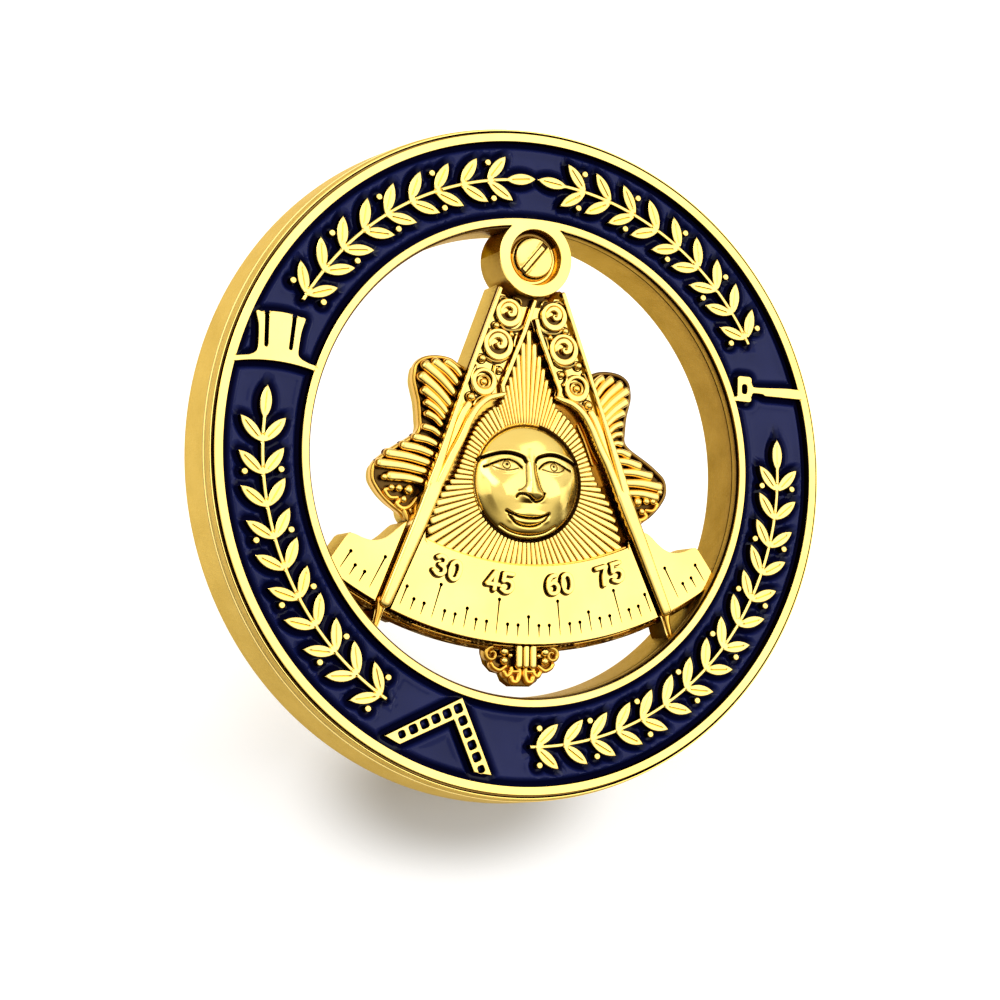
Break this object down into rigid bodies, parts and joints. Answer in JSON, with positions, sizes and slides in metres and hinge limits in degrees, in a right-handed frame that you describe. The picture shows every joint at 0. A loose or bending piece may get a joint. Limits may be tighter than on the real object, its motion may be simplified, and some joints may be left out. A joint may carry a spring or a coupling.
{
  "type": "lapel pin",
  "caption": "Round openwork lapel pin: gold plated ring with navy enamel band and leaf sprays round compasses on a quadrant with a sun, post and clutch behind.",
  "frame": {"origin": "on the pin's round axis, at the flat end of the clutch that it lies on", "axes": "+Z the way the face looks, +Y the emblem's up, from the sun towards the knuckle, +X its right"},
  "size_m": [0.0262, 0.0262, 0.008],
  "materials": {
    "gold": "polished gold plate, satin side walls",
    "enamel": "glossy navy enamel",
    "clutch": "satin brass"
  },
  "bodies": {
    "root": {"casting": "gold", "enamel_upper": "enamel", "enamel_lower": "enamel", "enamel_hat_corner": "enamel", "enamel_gavel_eye": "enamel", "enamel_cell_1": "enamel", "enamel_cell_2": "enamel", "enamel_cell_3": "enamel", "enamel_cell_4": "enamel", "enamel_cell_5": "enamel", "enamel_cell_6": "enamel", "enamel_cell_7": "enamel", "enamel_cell_8": "enamel", "enamel_cell_9": "enamel", "enamel_cell_10": "enamel", "enamel_cell_11": "enamel", "clutch": "clutch"}
  },
  "joints": []
}
